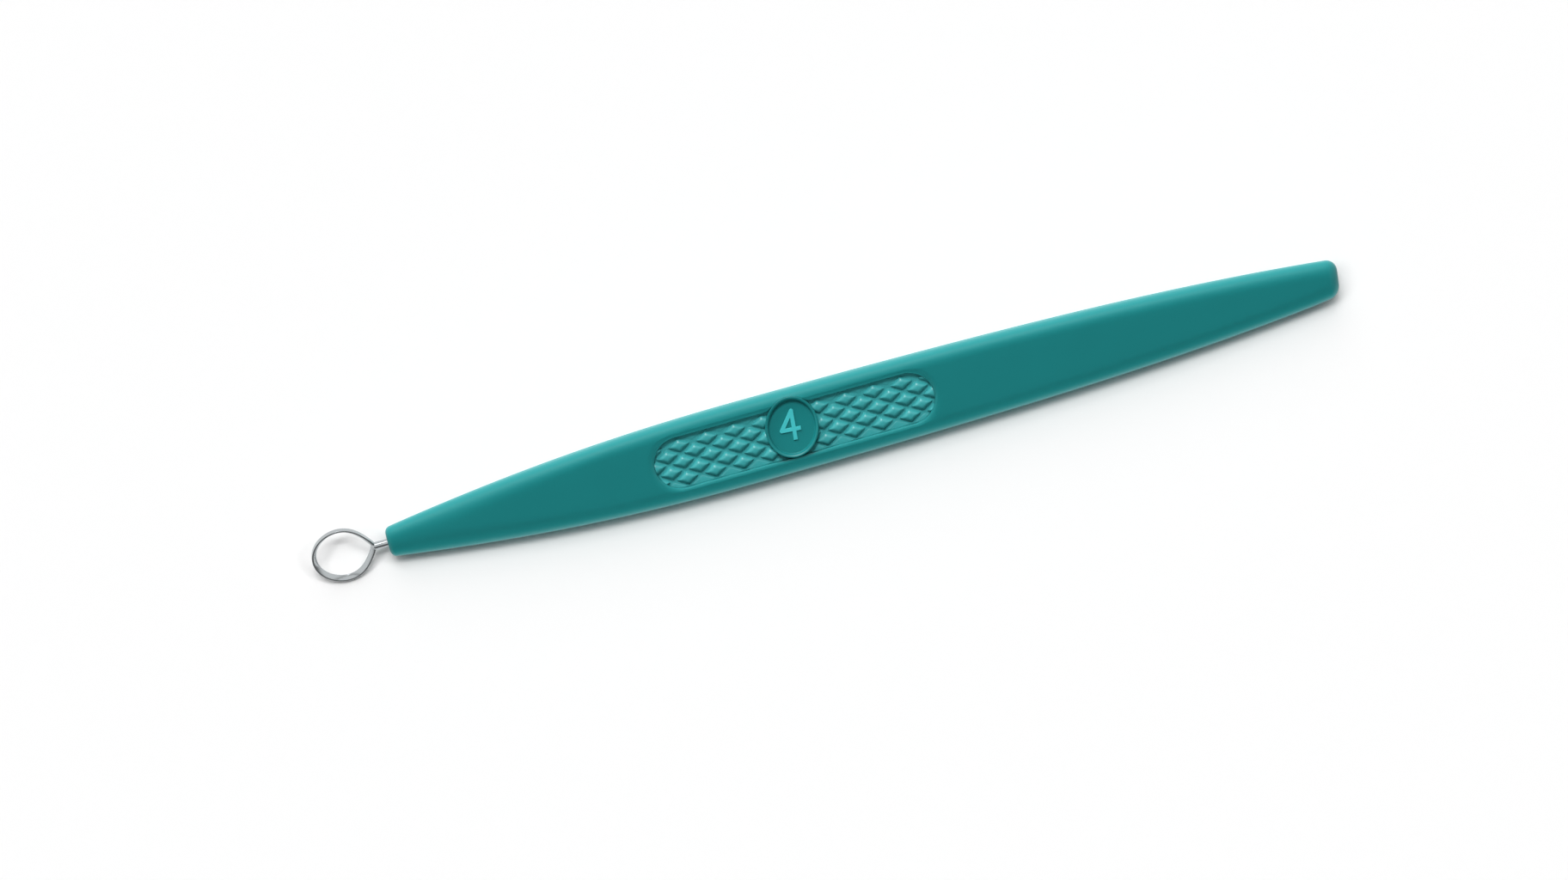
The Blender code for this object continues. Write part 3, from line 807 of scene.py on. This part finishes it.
def add_sun(name, elevation, azimuth, width, strength, group, glossy=False):
    """A soft sun from a direction in degrees; its disc shows in reflections only if glossy."""
    lamp_data = bpy.data.lights.new(name, "SUN")
    lamp_data.energy = strength
    lamp_data.angle = radians(width)
    lamp = bpy.data.objects.new(name, lamp_data)
    bpy.context.scene.collection.objects.link(lamp)
    e, a = radians(elevation), radians(azimuth)
    towards = Vector((cos(e) * cos(a), cos(e) * sin(a), sin(e)))
    lamp.rotation_euler = towards.to_track_quat("Z", "Y").to_euler()
    lamp.visible_glossy = glossy
    lamp_data.cycles.use_multiple_importance_sampling = glossy
    lamp.light_linking.receiver_collection = group


# Handle: an even dome, a low lamp on each side that rounds the long edge there, and a faint gloss
add_sun("dome_light", 90, 0, 175, 1.05, handle_group)
add_sun("far_light", 8, 93, 16, 5.9, handle_group)
add_sun("far_gloss", 26, 93, 26, 0.5, handle_group, glossy=True)
add_sun("near_light", 22, -90, 30, 2.5, handle_group)

# Recess: a slightly weaker dome, so that the key from beyond shapes the knurl and the dish
add_sun("recess_dome", 90, 0, 175, 0.95, recess_group)
add_sun("recess_key", 44, 90, 18, 2.9, recess_group, glossy=True)
add_sun("recess_far", 14, 120, 22, 1.7, recess_group)

# Steel: a broad glow overhead, where its room is dark, and a small key
add_sun("steel_top", 90, 0, 52, 0.50, steel_group, glossy=True)
add_sun("steel_key", 50, 90, 14, 0.25, steel_group, glossy=True)

# Sheet: a fan of lamps high beyond the tool, then two broad ones, which leave a soft shadow near it
for turn in range(FAN_MIDDLE - FAN_HALF, FAN_MIDDLE + FAN_HALF + 1, FAN_STEP):
    elevation = FAN_HEIGHT - FAN_FALL * abs(turn - FAN_MIDDLE) / FAN_HALF
    strength = FAN_STRENGTH / sin(radians(elevation))
    add_sun("sheet_light_high", elevation, turn, FAN_WIDTH, strength, sheet_group)
add_sun("sheet_light_middle", 62.5, 90, 22, 0.97, sheet_group)
add_sun("sheet_light_low", 37, 90, 46, 0.85, sheet_group)

# The room is white to the camera and through glass. In reflections it darkens softly low on the
# near side, which draws thin dark lines in the steel, and overhead, which keeps the broad face deep
# in colour. Diffuse light comes almost all from the lamps.
world = bpy.data.worlds.new("studio")
bpy.context.scene.world = world
world.use_nodes = True
tree = world.node_tree
tree.nodes.clear()
path = add_node(tree, "ShaderNodeLightPath")
direction = add_node(tree, "ShaderNodeTexCoord").outputs["Generated"]
sides = add_node(tree, "ShaderNodeSeparateXYZ", {"Vector": direction})


def room_zone(axis, zone, first_shade, last_shade):
    """How bright the room is along one axis of direction, with a smooth change in the zone."""
    change = add_node(
        tree,
        "ShaderNodeMapRange",
        {"Value": sides.outputs[axis]},
        {"From Min": zone[0], "From Max": zone[1], "To Min": first_shade, "To Max": last_shade},
        interpolation_type="SMOOTHSTEP",
    )
    return change.outputs["Result"]


def combined(operation, first, second):
    """The output of a math node over two others."""
    node = add_node(tree, "ShaderNodeMath", {0: first, 1: second}, operation=operation)
    return node.outputs["Value"]


room_shade = combined(
    "MINIMUM", room_zone("Y", NEAR_ZONE, NEAR_SHADE, 1.0), room_zone("Z", TOP_ZONE, 1.0, TOP_SHADE)
)
in_gloss = combined("MULTIPLY", path.outputs["Is Glossy Ray"], room_shade)
through = combined("MAXIMUM", path.outputs["Is Camera Ray"], path.outputs["Is Transmission Ray"])
seen = combined("MAXIMUM", through, in_gloss)
shade = add_node(tree, "ShaderNodeMath", {0: seen}, {1: DIFFUSE_FILL}, operation="MAXIMUM")
white_room = add_node(
    tree, "ShaderNodeBackground", {"Strength": shade.outputs["Value"]}, {"Color": (1, 1, 1, 1)}
)
add_node(tree, "ShaderNodeOutputWorld", {"Surface": white_room.outputs["Background"]})
bpy.context.scene.view_settings.view_transform = "Standard"


# Camera. It looks almost straight down, with the tool rising to the right across the frame.

FRAME_WIDTH = 206.8 * MM
CAMERA_DISTANCE = 1.2
CAMERA_TILT = radians(6)
CAMERA_TURN = radians(15.62)
SENSOR = 36.0
CLIP_START = 0.05
CLIP_END = 20
AIM = Vector((-6.0 * MM, -1.07 * MM, 2.7 * MM))

camera_data = bpy.data.cameras.new("camera")
camera_data.sensor_width = SENSOR
camera_data.lens = SENSOR * CAMERA_DISTANCE / FRAME_WIDTH
camera_data.clip_start = CLIP_START
camera_data.clip_end = CLIP_END
camera = bpy.data.objects.new("camera", camera_data)
bpy.context.scene.collection.objects.link(camera)
turned = Matrix.Rotation(-CAMERA_TILT, 4, "X") @ Matrix.Rotation(-CAMERA_TURN, 4, "Z")
camera.matrix_world = Matrix.Translation(AIM) @ turned @ Matrix.Translation((0, 0, CAMERA_DISTANCE))
bpy.context.scene.camera = camera
